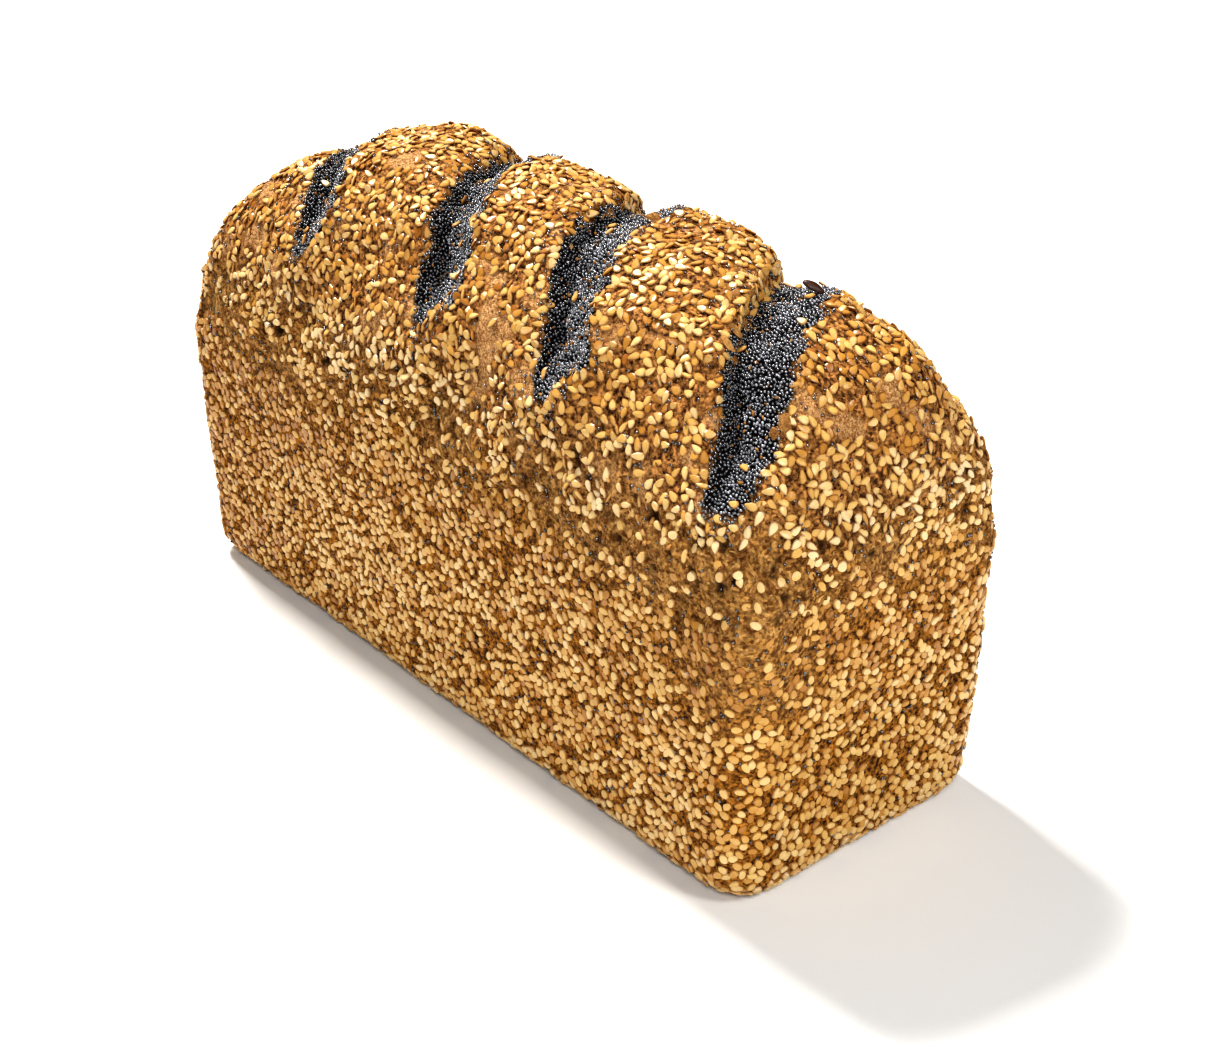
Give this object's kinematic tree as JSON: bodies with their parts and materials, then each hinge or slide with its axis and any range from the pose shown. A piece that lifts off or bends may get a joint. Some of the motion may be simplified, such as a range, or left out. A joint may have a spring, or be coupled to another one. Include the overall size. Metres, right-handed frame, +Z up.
{
  "type": "rye bread loaf",
  "caption": "Tall rye loaf baked in a tin: straight sides, high domed crown with slanting slashes full of poppy seed, sesame seeds all over the crust.",
  "frame": {"origin": "under the middle of the loaf, on the plane of its flat base", "axes": "+X along the length of the loaf, +Y across it, +Z up through the crown"},
  "size_m": [0.2364, 0.0874, 0.1375],
  "materials": {
    "baked_crust": "baked rye crust, matte golden brown, coated with sesame seeds, poppy seeds in the slashes"
  },
  "bodies": {
    "root": {"loaf": "baked_crust"}
  },
  "joints": []
}
